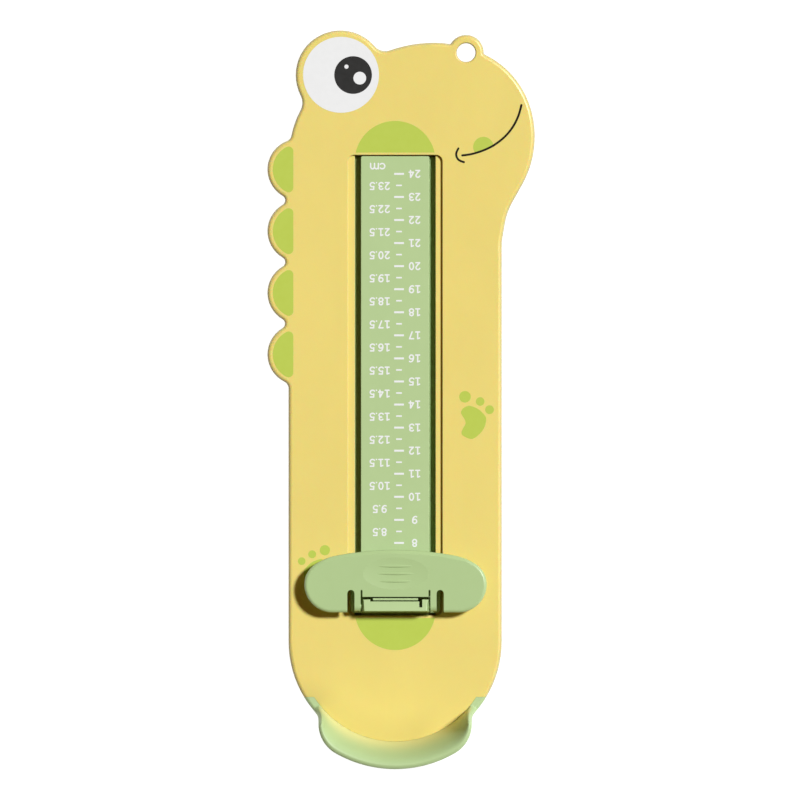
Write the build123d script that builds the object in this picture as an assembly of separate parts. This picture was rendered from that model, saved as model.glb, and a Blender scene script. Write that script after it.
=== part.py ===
from build123d import *
import math
import os

# ------------------------------------------------------------------ driving dimensions (mm)
# Plan coordinates are written as (u, v): u across from the rail's centreline, v along the scale.
# CX moves them to the row frame, whose origin is the middle of the whole outline on the resting plane.
CX = -2.56

# stack-up, heights above the resting plane
Z_SKIRT = 0.8            # lower rim of the shell, underside of the cover
COVER_T = 1.4            # cover thickness
Z_COVER_TOP = Z_SKIRT + COVER_T
Z_TOP = 8.8              # the plate the foot stands on
WALL = 2.0               # shell wall and roof thickness
Z_ROOF = Z_TOP - WALL    # underside of the shell's roof
EDGE_R = 1.6             # rounding of the shell's upper edge

# outline
SIDE_U = 46.23           # half width of the straight sides
HEEL_V = -104.90         # centre of the round heel end, radius SIDE_U
BUMP_R = 13.27           # back crests
BUMP_U = -42.11
BUMP_V = (19.64, 46.29, 73.06, 99.82)
BUMP_FILLET = 2.25
LOW_FILLET = 3.4         # notch between the straight side and the lowest crest
NECK_C, NECK_R = (-6.80, 106.90), 38.96
NECK_FILLET = 3.0        # notch between the top crest and the neck
EYE_C, EYE_R = (-23.68, 140.67), 19.45
EYE_FILLET = 7.0         # hollow between the neck and the eye lobe
CROWN_C, CROWN_R = (17.0, 96.8), 58.0
CROWN_FILLET = 6.0       # hollow between the eye lobe and the crown
SNOUT = ((17.0, 154.8), (28.3, 153.3), (39.0, 149.64), (45.51, 145.61), (49.93, 141.66), (54.26, 136.11),
         (56.47, 132.21), (58.72, 126.52), (60.54, 112.57), (56.96, 96.92), (51.35, 86.52),
         (48.90, 81.37), (47.53, 76.11), (46.60, 70.5), (46.23, 61.85))
LOOP_C, LOOP_R, LOOP_HOLE_R = (30.75, 150.50), 7.68, 4.07

# window for the rail
WIN_U = 20.45            # half width of the shallow recess
WIN_TOP, WIN_BOTTOM = 106.07, -93.50
WIN_R = 2.8
WIN_DEPTH = 1.5
SLOT_U = 17.45           # half width of the opening through the roof
LEDGE_T = 2.0

# scale rail
RAIL_U = 14.9            # half width of the rail head
RAIL_TOP, RAIL_BOTTOM = 105.65, -93.3
RAIL_HEAD_T = 1.6
WEB_U0, WEB_U1 = 9.0, 11.0
FLANGE_U = 20.0
FLANGE_T = 1.2

# heel cup
CUP_C, CUP_R = (0.0, -106.60), 41.60   # edge where the plate meets the cup
SHOULDER_V = -128.87
CUP_SIDE_U = 33.20
CUP_BACK_C, CUP_BACK_R = (0.0, -107.72), 52.08
CUP_CORNER_R = 14.6      # round corner, tangent to the side and to the back arc
CUP_CORNER_C = (CUP_SIDE_U - CUP_CORNER_R,
                CUP_BACK_C[1] - math.sqrt((CUP_BACK_R - CUP_CORNER_R) ** 2 - (CUP_SIDE_U - CUP_CORNER_R) ** 2))
CUP_H = 24.0             # heel wall above the plate
RIM_R = 1.7              # outer rounding of the wall's rim
GAP = 0.03               # seam between shell and cup
WALL_FULL, WALL_END = 43.0, 52.6   # the wall keeps its height to the first angle and is gone at the second

# slider
SLIDER_U = 0.15          # the slider sits this far to the right in its running play
AXIS_V, AXIS_Z = -89.5, 15.1
EAR_R = 2.2              # round ends of the flap's ears
BAR_U, BAR_END = 14.65, 1.2        # half length, and run of the sloping ends
BAR_TOP, BAR_BACK = 18.8, 17.65    # height of the top's front edge and of its rear corners
BAR_V0, BAR_V1 = -92.3, -87.35     # foot of the sloping front, and the back
BAR_EDGE, BAR_REAR = -91.63, -86.5 # top's front edge, and the rear of the end pieces
PIN_R, PIN_CLEAR, PIN_LEN = 1.20, 0.05, 1.9
CAR_U = 19.4
CAR_V0, CAR_V1 = -92.4, -75.99
CAR_Z0, CAR_Z1 = 7.55, 9.2
LEG_U0, LEG_U1 = 15.35, 16.95
LEG_V0, LEG_V1 = -88.5, -79.0
HOOK_U0 = 12.3
HOOK_Z0, HOOK_Z1 = 4.2, 5.4

# toe flap
FLAP_Z0, FLAP_Z1 = 14.3, 17.3
FLAP_BOTTOM = -92.15
EAR_U0, EAR_U1 = 15.12, 17.78
NOTCH_U0, NOTCH_U1 = 17.78, 20.9
NOTCH_TOP = -82.4
SLIT_U = 14.32
INNER_EDGE = -85.4
GRIP_V = -75.3

# fasteners
SCREW_R, SCREW_HEAD_R = 1.1, 2.1
BOSS_R = 3.0

OUT = "parts"
os.makedirs(OUT, exist_ok=True)


# ------------------------------------------------------------------ plan geometry helpers
def meet(c0, r0, c1, r1, side):
    """Crossing of two circles, to the left (side +1) or right (side -1) of the way from c0 to c1."""
    dx, dy = c1[0] - c0[0], c1[1] - c0[1]
    d = math.hypot(dx, dy)
    a = (r0 * r0 - r1 * r1 + d * d) / (2 * d)
    h = math.sqrt(max(r0 * r0 - a * a, 0.0))
    return (c0[0] + a * dx / d - side * h * dy / d, c0[1] + a * dy / d + side * h * dx / d)


def toward(c, p, r):
    """Point at distance r from c, on the way to p."""
    d = math.hypot(p[0] - c[0], p[1] - c[1])
    return (c[0] + (p[0] - c[0]) * r / d, c[1] + (p[1] - c[1]) * r / d)


def arc_between(c, r, p, q, ccw):
    """Circular edge about c from p to q."""
    a0 = math.atan2(p[1] - c[1], p[0] - c[0])
    a1 = math.atan2(q[1] - c[1], q[0] - c[0])
    if ccw and a1 < a0:
        a1 += 2 * math.pi
    if not ccw and a1 > a0:
        a1 -= 2 * math.pi
    am = (a0 + a1) / 2
    return ThreePointArc(p, (c[0] + r * math.cos(am), c[1] + r * math.sin(am)), q)


def concave(c0, r0, c1, r1, rf, side):
    """Fillet circle in the notch between two round lobes: its centre and its two ends."""
    f = meet(c0, r0 + rf, c1, r1 + rf, side)
    return f, toward(c0, f, r0), toward(c1, f, r1)


def at(shape, z=0.0):
    return Pos(CX, 0, z) * shape


def block(u0, u1, v0, v1, z0, z1):
    return Pos((u0 + u1) / 2 + CX, (v0 + v1) / 2, (z0 + z1) / 2) * Box(u1 - u0, v1 - v0, z1 - z0)


def rod(u, v, z0, z1, r):
    return Pos(u + CX, v, (z0 + z1) / 2) * Cylinder(r, z1 - z0)


def rod_x(u0, u1, v, z, r):
    return Pos((u0 + u1) / 2 + CX, v, z) * Rot(0, 90, 0) * Cylinder(r, u1 - u0)


def prism(face, z0, z1):
    """Plan face raised from z0 to z1."""
    return at(extrude(face, amount=z1 - z0, dir=(0, 0, 1)), z0)


# ------------------------------------------------------------------ the animal outline
def outline(grow=0.0, bump_fillet=BUMP_FILLET):
    """Plan outline, all its lobes moved outward by grow (inward when negative)."""
    g = grow
    edges = []
    side = -SIDE_U - g
    # straight left side up to the lowest crest
    r = BUMP_R + g
    rf = LOW_FILLET - g
    c = (BUMP_U, BUMP_V[0])
    fx = side - rf
    fy = c[1] - math.sqrt((r + rf) ** 2 - (fx - c[0]) ** 2)
    p_line = (side, fy)
    p_arc = toward(c, (fx, fy), r)
    edges.append(Line((side, HEEL_V), p_line))
    edges.append(arc_between((fx, fy), rf, p_line, p_arc, True))
    start = p_arc
    # crests and the notches between them
    for i in range(3):
        c0, c1 = (BUMP_U, BUMP_V[i]), (BUMP_U, BUMP_V[i + 1])
        f, a, b = concave(c0, r, c1, r, bump_fillet - g, 1)
        edges.append(arc_between(c0, r, start, a, False))
        edges.append(arc_between(f, bump_fillet - g, a, b, True))
        start = b
    c0 = (BUMP_U, BUMP_V[3])
    # crest to neck
    f, a, b = concave(c0, r, NECK_C, NECK_R + g, NECK_FILLET - g, 1)
    edges.append(arc_between(c0, r, start, a, False))
    edges.append(arc_between(f, NECK_FILLET - g, a, b, True))
    start = b
    # neck to eye lobe
    f, a, b = concave(NECK_C, NECK_R + g, EYE_C, EYE_R + g, EYE_FILLET - g, 1)
    edges.append(arc_between(NECK_C, NECK_R + g, start, a, False))
    edges.append(arc_between(f, EYE_FILLET - g, a, b, True))
    start = b
    # eye lobe to crown
    f, a, b = concave(EYE_C, EYE_R + g, CROWN_C, CROWN_R + g, CROWN_FILLET - g, 1)
    edges.append(arc_between(EYE_C, EYE_R + g, start, a, False))
    edges.append(arc_between(f, CROWN_FILLET - g, a, b, True))
    start = b
    top = (CROWN_C[0], CROWN_C[1] + CROWN_R + g)
    edges.append(arc_between(CROWN_C, CROWN_R + g, start, top, False))
    # snout, as one smooth curve
    pts = list(SNOUT)
    if g:
        base = Spline(*pts, tangents=[(1, 0), (0, -1)])
        n = 25
        pts = []
        for k in range(n + 1):
            p = base.position_at(k / n)
            t = base.tangent_at(k / n)
            pts.append((p.X + g * -t.Y, p.Y + g * t.X))
        pts[0] = top
        pts[-1] = (SIDE_U + g, SNOUT[-1][1])
    edges.append(Spline(*pts, tangents=[(1, 0), (0, -1)]))
    # right side and round heel end
    edges.append(Line((SIDE_U + g, SNOUT[-1][1]), (SIDE_U + g, HEEL_V)))
    edges.append(ThreePointArc((SIDE_U + g, HEEL_V), (0, HEEL_V - SIDE_U - g), (side, HEEL_V)))
    return make_face(Wire(edges))


def rounded(u0, u1, v0, v1, r):
    return Pos((u0 + u1) / 2, (v0 + v1) / 2) * RectangleRounded(u1 - u0, v1 - v0, r)


def rect(u0, u1, v0, v1):
    return Pos((u0 + u1) / 2, (v0 + v1) / 2) * Rectangle(u1 - u0, v1 - v0)


def disc(c, r):
    return Pos(*c) * Circle(r)


# keeps the plate side of the heel seam: everything above the shoulder line, and the disc inside the seam
def plate_side(face, r):
    return face & (rect(-120, 120, SHOULDER_V, 200) + disc(CUP_C, r))


# ------------------------------------------------------------------ screw positions (u, v)
CASE_SCREWS = [(-24, 136), (31, 124), (-36.5, 96), (38, 70), (-37.5, 20), (38, 5),
               (-37.5, -55), (37.5, -55), (0, 114.5), (0, -103.0)]
CUP_SCREWS = [(-19, -131), (19, -131), (0, -124)]


# ------------------------------------------------------------------ top shell
def make_top_shell():
    loop = disc(LOOP_C, LOOP_R)
    plan = plate_side(outline(), CUP_R)
    plan = plan + loop
    body = prism(plan, Z_SKIRT, Z_TOP)
    # soften the two inner corners where the loop grows out of the crown
    corners = [e for e in body.edges().filter_by(Axis.Z)
               if abs(math.hypot(e.center().X - CX - LOOP_C[0], e.center().Y - LOOP_C[1]) - LOOP_R) < 0.05]
    if corners:
        body = fillet(corners, 0.7)
    top = body.faces().sort_by(Axis.Z)[-1]
    body = fillet([e for e in top.edges()
                   if not (abs(e.center().Y - SHOULDER_V) < 0.05 or
                           abs(math.hypot(e.center().X - CX - CUP_C[0], e.center().Y - CUP_C[1]) - CUP_R) < 0.3
                           and e.center().Y < SHOULDER_V)], EDGE_R)
    # cavity under the roof
    inner = outline(-WALL)
    inner = plate_side(inner, CUP_R - WALL)
    keep_loop = disc(LOOP_C, LOOP_R)
    inner = inner - keep_loop
    pocket = prism(inner, -1, Z_ROOF)
    body -= pocket
    # screw bosses hang from the roof
    for u, v in CASE_SCREWS + CUP_SCREWS:
        body += rod(u, v, Z_COVER_TOP, Z_ROOF + 0.5, BOSS_R)
    # frame around the window, and the opening through the roof
    frame = prism(rounded(-WIN_U - 2.0, WIN_U + 2.0, WIN_BOTTOM - 2.0, WIN_TOP + 2.0, 3.0), Z_TOP - WIN_DEPTH - LEDGE_T, Z_TOP)
    frame = frame - prism(rounded(-WIN_U, WIN_U, WIN_BOTTOM, WIN_TOP, WIN_R), Z_TOP - 0.01, Z_TOP + 1)
    body += frame
    body -= prism(rounded(-WIN_U, WIN_U, WIN_BOTTOM, WIN_TOP, WIN_R), Z_TOP - WIN_DEPTH, Z_TOP + 2)
    rim = [e for e in body.edges() if abs(e.center().Z - Z_TOP) < 1e-3 and abs(e.center().X - CX) < WIN_U + 0.01
           and WIN_BOTTOM - 0.01 < e.center().Y < WIN_TOP + 0.01]
    body = fillet(rim, 0.3)
    body -= prism(rect(-SLOT_U, SLOT_U, WIN_BOTTOM + 0.1, WIN_TOP - 0.15), -1, Z_TOP + 2)
    lips = [e for e in body.edges().filter_by(Axis.Y) if abs(e.center().Z - (Z_TOP - WIN_DEPTH)) < 1e-3
            and abs(abs(e.center().X - CX) - SLOT_U) < 1e-3]
    body = fillet(lips, 0.3)
    # two long ribs press the rail's flange down on the cover
    for s in (-1, 1):
        body += block(min(s * 18.3, s * 19.7), max(s * 18.3, s * 19.7), -88, 101, Z_COVER_TOP + FLANGE_T, Z_TOP - WIN_DEPTH - LEDGE_T + 0.1)
    # hanging hole, lightly rounded at both mouths
    body -= rod(*LOOP_C, -1, 12, LOOP_HOLE_R)
    ring = [e for e in body.edges().filter_by(GeomType.CIRCLE)
            if abs(e.radius - LOOP_HOLE_R) < 1e-3 and abs(e.arc_center.X - CX - LOOP_C[0]) < 0.01]
    body = fillet([e for e in ring if e.center().Z > 8 or e.center().Z < 2], 0.7)
    # pilot holes
    for u, v in CASE_SCREWS + CUP_SCREWS:
        body -= rod(u, v, Z_COVER_TOP - 0.5, Z_ROOF + 0.6, SCREW_R)
    # the skirt along the heel seam is cut back so the cup's tongue can pass under it
    tongue_way = prism(disc((0, HEEL_V), SIDE_U + 3) & rect(-60, 60, -170, SHOULDER_V + 0.001), -1, Z_COVER_TOP + 0.1)
    body -= tongue_way
    return body


# ------------------------------------------------------------------ bottom cover
COVER_END = -112.0


def countersink(u, v):
    cone = Pos(u + CX, v, Z_SKIRT + 0.55) * Cone(SCREW_HEAD_R + 0.1, SCREW_R + 0.2, 1.1)
    return cone + rod(u, v, -0.5, Z_SKIRT + 0.001, SCREW_HEAD_R + 0.1) + rod(u, v, Z_SKIRT + 1.0, Z_COVER_TOP + 4, SCREW_R + 0.2)


PADS = {"head_pad_left": (-29.0, 112.0), "head_pad_right": (36.0, 104.0),
        "heel_pad_left": (-27.0, -122.5), "heel_pad_right": (27.0, -122.5)}
PAD_R, PAD_T, PAD_SINK = 7.0, 1.2, 0.4


def make_bottom_cover():
    plan = outline(-WALL - 0.2) & rect(-120, 120, COVER_END, 200)
    plan = plan - disc(LOOP_C, LOOP_R + 0.2)
    body = prism(plan, Z_SKIRT, Z_COVER_TOP)
    for u, v in CASE_SCREWS:
        body -= countersink(u, v)
    for name, (u, v) in PADS.items():
        if v > COVER_END:
            body -= rod(u, v, 0, Z_SKIRT + PAD_SINK, PAD_R + 0.15)
    # two stiffening ribs each side of the rail
    for s in (-1, 1):
        for a in (27.0, 33.0):
            body += block(min(s * a - 0.6, s * a + 0.6), max(s * a - 0.6, s * a + 0.6), -92, 60, Z_COVER_TOP - 0.1, 4.6)
    for u, v in CASE_SCREWS:
        body -= rod(u, v, Z_COVER_TOP, 5, BOSS_R + 0.4)
    return body


# ------------------------------------------------------------------ scale rail
def make_scale_rail():
    z_head = Z_TOP - WIN_DEPTH
    head = prism(rounded(-RAIL_U, RAIL_U, RAIL_BOTTOM, RAIL_TOP, 0.9), z_head - RAIL_HEAD_T, z_head)
    head = fillet(head.faces().sort_by(Axis.Z)[-1].edges(), 0.3)
    body = head
    for s in (-1, 1):
        body += block(min(s * WEB_U0, s * WEB_U1), max(s * WEB_U0, s * WEB_U1), RAIL_BOTTOM + 0.5, RAIL_TOP - 0.5,
                      Z_COVER_TOP + FLANGE_T - 0.2, z_head - RAIL_HEAD_T + 0.1)
    flange = rounded(-FLANGE_U, FLANGE_U, RAIL_BOTTOM + 0.2, RAIL_TOP - 0.2, 1.0)
    flange = flange + rounded(-7, 7, RAIL_TOP - 4, 119.0, 2.0) + rounded(-7, 7, -107.5, RAIL_BOTTOM + 4, 2.0)
    body += prism(flange, Z_COVER_TOP, Z_COVER_TOP + FLANGE_T)
    # cross ribs between the webs
    for k in range(8):
        v = -84 + k * 26.0
        body += block(-WEB_U0 - 0.1, WEB_U0 + 0.1, v - 0.6, v + 0.6, Z_COVER_TOP + FLANGE_T - 0.1, z_head - RAIL_HEAD_T + 0.1)
    # screw eyes at the two end tabs, clear of the shell's bosses
    for u, v in ((0, 114.5), (0, -103.0)):
        body -= rod(u, v, 0, 4, BOSS_R + 0.25)
    return body


# ------------------------------------------------------------------ heel cup
def cup_radius(phi):
    """Outer outline of the cup, as distance from CUP_C at angle phi from the way straight back."""
    a = abs(phi)
    s, c = math.sin(a), math.cos(a)
    best = None
    # back arc
    dy = CUP_C[1] - CUP_BACK_C[1]
    r = dy * c + math.sqrt(CUP_BACK_R ** 2 - (dy * s) ** 2)
    p = (r * s, CUP_C[1] - r * c)
    edge = math.atan2(CUP_CORNER_C[0], CUP_BACK_C[1] - CUP_CORNER_C[1])
    if math.atan2(p[0], CUP_BACK_C[1] - p[1]) <= edge:
        return r
    # round corner
    cx, cy = CUP_CORNER_C
    bx, by = -cx, CUP_C[1] - cy
    b = bx * s - by * c
    disc_ = b * b - (bx * bx + by * by - CUP_CORNER_R ** 2)
    if disc_ > 0:
        r = -b + math.sqrt(disc_)
        if CUP_C[1] - r * c <= cy:
            best = r
    side = CUP_SIDE_U / s if s > 1e-6 else 1e9
    if best is not None:
        return best
    # straight side, then the round heel end of the plate; the inner corner between them is softened
    dy = HEEL_V - CUP_C[1]
    base = -dy * c + math.sqrt(SIDE_U ** 2 - (dy * s) ** 2)
    k = 0.5
    m = max(side, base)
    return m + k * math.log(math.exp((side - m) / k) + math.exp((base - m) / k))


def wall_height(phi):
    """Height of the heel wall above the plate at angle phi: full round the back, nothing at the shoulders."""
    t = (WALL_END - abs(math.degrees(phi))) / (WALL_END - WALL_FULL)
    t = min(1.0, max(0.0, t))
    return CUP_H * t * t * (3 - 2 * t)


# rise of the inner wall from the seam to the rim, as fractions of its run and of its height
CUP_RISE = ((0, 0), (0.1, 0.171), (0.2, 0.330), (0.3, 0.474), (0.4, 0.600), (0.5, 0.710), (0.6, 0.804), (0.7, 0.884),
            (0.8, 0.943), (0.9, 0.984), (1, 1))


def cup_section(phi):
    """Closed upright section of the cup at angle phi."""
    s, c = math.sin(phi), math.cos(phi)
    w = cup_radius(phi) - CUP_R
    h = wall_height(phi)
    r = EDGE_R + (RIM_R - EDGE_R) * h / CUP_H

    def pt(rho, z):
        q = CUP_R + rho
        return (CUP_C[0] + q * s + CX, CUP_C[1] - q * c, z)

    wi = w - r
    inner = [pt(GAP + (wi - GAP) * x, Z_TOP + h * z) for x, z in CUP_RISE]
    top = inner[-1]
    m = math.sqrt(0.5)
    edges = [
        Line(pt(GAP, Z_SKIRT), inner[0]),
        Spline(*inner),
        ThreePointArc(top, pt(wi + r * m, Z_TOP + h - r + r * m), pt(w, Z_TOP + h - r)),
        Line(pt(w, Z_TOP + h - r), pt(w, Z_SKIRT)),
        Line(pt(w, Z_SKIRT), pt(GAP, Z_SKIRT)),
    ]
    return Wire(edges)


def cup_hollow(phi):
    """Closed upright section of the hollow under the heel wall, which leaves it about 2 mm thick."""
    s, c = math.sin(phi), math.cos(phi)
    w = cup_radius(phi) - CUP_R

    def pt(rho, z):
        q = CUP_R + rho
        return (CUP_C[0] + q * s + CX, CUP_C[1] - q * c, z)

    k = (w - 2.4) / 9.25
    h = CUP_H
    return Wire(Polyline(pt(2.7 * k, -1), pt(2.7 * k, Z_TOP + 1.0), pt(5.2 * k, Z_TOP + 0.5 * h), pt(7.0 * k, Z_TOP + 0.7 * h),
                         pt(w - 2.4, Z_TOP + 0.80 * h), pt(w - 2.4, -1), close=True).edges())


def make_heel_cup():
    half = [1.5 * i for i in range(30)] + [44.5, 45.5, 46.5, 47.4, 48.2, 48.9, 49.6, 50.3, 51.0, 51.6, 52.1, 52.6] + [53.5, 55.0, 57.0, 59.0, 62.0, 66.0]
    wires = [cup_section(math.radians(a)) for a in [-b for b in reversed(half[1:])] + half]
    ring = Part() + Solid.make_loft(wires, ruled=True)
    ring -= block(-80, 80, SHOULDER_V - GAP, -80, -5, 60)
    wires = [cup_hollow(math.radians(i * 3.0)) for i in range(-13, 14)]
    ring -= Part() + Solid.make_loft(wires, ruled=True)
    # tongue under the shell
    t_plan = disc((0, HEEL_V), SIDE_U - WALL - 0.2) & rect(-60, 60, -170, COVER_END - 0.3)
    t_plan = t_plan & (rect(-60, 60, SHOULDER_V, COVER_END) + disc(CUP_C, CUP_R + 3.0))
    tongue = prism(t_plan, Z_SKIRT, Z_COVER_TOP)
    body = ring + tongue
    for u, v in CUP_SCREWS:
        body -= countersink(u, v)
    for name, (u, v) in PADS.items():
        if v < COVER_END:
            body -= rod(u, v, 0, Z_SKIRT + PAD_SINK, PAD_R + 0.15)
    return body


# ------------------------------------------------------------------ screws and pads
def screw(u, v):
    head = Pos(u + CX, v, Z_SKIRT + 0.1 + 0.5) * Cone(SCREW_HEAD_R - 0.05, SCREW_R, 1.0)
    shank = rod(u, v, Z_SKIRT + 1.0, Z_SKIRT + 5.9, SCREW_R)
    cross = block(u - 1.2, u + 1.2, v - 0.25, v + 0.25, Z_SKIRT, Z_SKIRT + 0.7) + \
        block(u - 0.25, u + 0.25, v - 1.2, v + 1.2, Z_SKIRT, Z_SKIRT + 0.7)
    return head + shank - cross


def make_pad(u, v):
    pad = rod(u, v, 0, PAD_T, PAD_R)
    return fillet(pad.edges().filter_by(GeomType.CIRCLE).sort_by(Axis.Z)[0], 0.3)


# ------------------------------------------------------------------ slider carriage
def make_slider_carriage():
    base = prism(rounded(-CAR_U, CAR_U, CAR_V0, CAR_V1, 1.7), CAR_Z0, CAR_Z1)
    base = fillet(base.faces().sort_by(Axis.Z)[-1].edges(), 0.3)
    body = base
    # hinge bar: upright block with a sloping front and ends, its top falling slightly to the rear
    fall = (BAR_TOP - BAR_BACK) / (BAR_REAR - BAR_EDGE)

    def top_z(v):
        return BAR_TOP - fall * (v - BAR_EDGE)

    prof = Polyline((BAR_V0, CAR_Z1 - 0.3), (BAR_EDGE, BAR_TOP), (BAR_V1, top_z(BAR_V1)), (BAR_V1, CAR_Z1 - 0.3), close=True)
    bar = Pos(CX - BAR_U, 0, 0) * extrude(Plane.YZ * make_face(prof), amount=2 * BAR_U)
    rear = Polyline((BAR_V1 - 0.5, CAR_Z1 - 0.3), (BAR_V1 - 0.5, top_z(BAR_V1 - 0.5)), (BAR_REAR, top_z(BAR_REAR)),
                    (BAR_REAR, CAR_Z1 - 0.3), close=True)
    rear = extrude(Plane.YZ * make_face(rear), amount=BAR_U - 10.9)
    bar += Pos(CX - BAR_U, 0, 0) * rear
    bar += Pos(CX + 10.9, 0, 0) * rear
    for s in (-1, 1):
        wedge = Polyline((s * (BAR_U - BAR_END), BAR_TOP + 0.1), (s * BAR_U, BAR_TOP - 3.2), (s * (BAR_U + 1), BAR_TOP - 3.2),
                         (s * (BAR_U + 1), BAR_TOP + 1), (s * (BAR_U - BAR_END), BAR_TOP + 1), close=True)
        bar -= Pos(CX, -80, 0) * extrude(Plane.XZ * make_face(wedge), amount=20)
    bar = fillet(bar.faces().sort_by(Axis.Z)[-1].edges(), 0.3)
    body += bar
    # sockets for the flap's stub pins
    for s in (-1, 1):
        body -= rod_x(min(s * (BAR_U - PIN_LEN), s * (BAR_U + 1)), max(s * (BAR_U - PIN_LEN), s * (BAR_U + 1)),
                      AXIS_V, AXIS_Z, PIN_R + PIN_CLEAR)
    # relief slot that lets the bar's right end give when the flap is snapped in
    body -= block(10.27, 11.57, -89.9, -86.3, AXIS_Z - 3.0, BAR_TOP + 1)
    # core under the bar
    body -= block(-9.6, 9.6, BAR_V0 + 1.5, BAR_V1 - 1.1, 5, AXIS_Z - 1.0)
    # detent leaf standing behind the bar
    leaf = block(-9.75, 9.75, -86.95, -85.96, CAR_Z1 - 0.1, AXIS_Z + 1.6)
    leaf = fillet(leaf.edges().filter_by(Axis.X).sort_by(Axis.Z)[-2:], 0.25)
    body += leaf
    # rests that carry the folded flap
    for u in (-11.0, 11.0):
        body += block(u - 1.0, u + 1.0, -83.5, -77.5, CAR_Z1 - 0.1, FLAP_Z0 - 0.2)
    # legs through the slots, with hooks under the rail head
    for s in (-1, 1):
        a, b = sorted((s * LEG_U0, s * LEG_U1))
        body += block(a, b, LEG_V0, LEG_V1, HOOK_Z0, CAR_Z0 + 0.1)
        a, b = sorted((s * HOOK_U0, s * (LEG_U0 + 0.1)))
        body += block(a, b, LEG_V0, LEG_V1, HOOK_Z0, HOOK_Z1)
    return Pos(SLIDER_U, 0, 0) * body


# ------------------------------------------------------------------ toe flap
FLAP_TOP, FLAP_R1 = -65.08, 135.92         # long crown arc of the flap's upper edge
FLAP_R2 = 25.15                            # easing arc
FLAP_U, FLAP_R3, FLAP_R4 = 39.48, 10.57, 12.16   # half length, upper and lower end radii
FLAP_EDGE = 1.3                            # rounding of the flap's upper face
FLAP_FALL_W, FLAP_FALL = 1.6, 0.47         # width and slope of the fall along the crown arc


def flap_outline():
    """Half-round ended outline: crown arc, easing arcs and two arcs at each end, all tangent."""
    c1 = (0.0, FLAP_TOP - FLAP_R1)
    c4 = (FLAP_U - FLAP_R4, FLAP_BOTTOM + FLAP_R4)
    c3 = (FLAP_U - FLAP_R3, FLAP_BOTTOM + FLAP_R4)
    # the easing arc's centre lies FLAP_R1 - FLAP_R2 from c1 and FLAP_R2 - FLAP_R3 from c3
    c2 = meet(c1, FLAP_R1 - FLAP_R2, c3, FLAP_R2 - FLAP_R3, 1)
    p = toward(c1, c2, FLAP_R1)
    q = toward(c2, c3, FLAP_R2)
    tip = (FLAP_U, c4[1])
    foot = (c4[0], FLAP_BOTTOM)

    def m(pt):
        return (-pt[0], pt[1])

    return make_face(Wire([
        ThreePointArc(m(p), (0.0, FLAP_TOP), p),
        arc_between(c2, FLAP_R2, p, q, False),
        arc_between(c3, FLAP_R3, q, tip, False),
        arc_between(c4, FLAP_R4, tip, foot, False),
        Line(foot, m(foot)),
        arc_between(m(c4), FLAP_R4, m(foot), m(tip), False),
        arc_between(m(c3), FLAP_R3, m(tip), m(q), False),
        arc_between(m(c2), FLAP_R2, m(q), m(p), False),
    ]))


def make_toe_flap():
    plan = flap_outline()
    body = prism(plan, FLAP_Z0, FLAP_Z1)
    body = fillet(body.faces().sort_by(Axis.Z)[-1].edges(), FLAP_EDGE)
    # the face falls away along the crown arc
    w = FLAP_FALL_W
    fall = Polyline((FLAP_R1 - w, FLAP_Z1), (FLAP_R1 + 1, FLAP_Z1 + 0.5), (FLAP_R1 + 1, FLAP_Z1 - (w + 1) * FLAP_FALL), close=True)
    body -= Pos(CX, FLAP_TOP - FLAP_R1, 0) * revolve(Plane.XZ * make_face(fall), Axis.Z, 360)
    # finger dish
    a, b, c, d = 14.2, 7.0, 3.0, 0.40
    k = math.sqrt(1 - ((c - d) / c) ** 2)
    dish = Pos(CX, GRIP_V, FLAP_Z1 + c - d) * scale(Sphere(1.0), by=(a / k, b / k, c))
    body -= dish
    for v, half in ((-72.1, 8.0), (-75.35, 9.0), (-78.65, 7.5)):
        depth = d - (c - c * math.sqrt(max(0.0, 1 - ((v - GRIP_V) * k / b) ** 2)))
        body += Pos(CX, v, FLAP_Z1 - depth - 0.05) * scale(Sphere(1.0), by=(half, 0.6, 0.38))
    # notches each side of the ears, open at the lower edge
    for s in (-1, 1):
        lo, hi = sorted((s * NOTCH_U0, s * NOTCH_U1))
        cut = rect(lo, hi, -100, NOTCH_TOP - 1.5) + disc(((lo + hi) / 2, NOTCH_TOP - 1.5), 1.5)
        body -= prism(cut, 5, 25)
    # opening for the hinge bar, with slits that free the ears
    inner = rect(-EAR_U0, EAR_U0, -100, INNER_EDGE)
    for s in (-1, 1):
        lo, hi = sorted((s * SLIT_U, s * EAR_U0))
        inner = inner + rect(lo, hi, -100, NOTCH_TOP - 0.4) + disc(((lo + hi) / 2, NOTCH_TOP - 0.4), 0.4)
    body -= prism(inner, 5, 25)
    # ears end round the hinge axis; stub pins point inward
    for s in (-1, 1):
        lo, hi = sorted((s * EAR_U0, s * EAR_U1))
        body -= block(lo, hi, -100, AXIS_V, 5, 25)
        ear = rod_x(lo, hi, AXIS_V, AXIS_Z, EAR_R)
        body += ear
        body += block(lo, hi, AXIS_V, NOTCH_TOP - 2.0, FLAP_Z0 - 1.0, FLAP_Z1)
        lo, hi = sorted((s * (BAR_U - PIN_LEN + 0.3), s * (EAR_U0 + 0.2)))
        body += rod_x(lo, hi, AXIS_V, AXIS_Z, PIN_R)
    return Pos(SLIDER_U, 0, 0) * body


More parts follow.
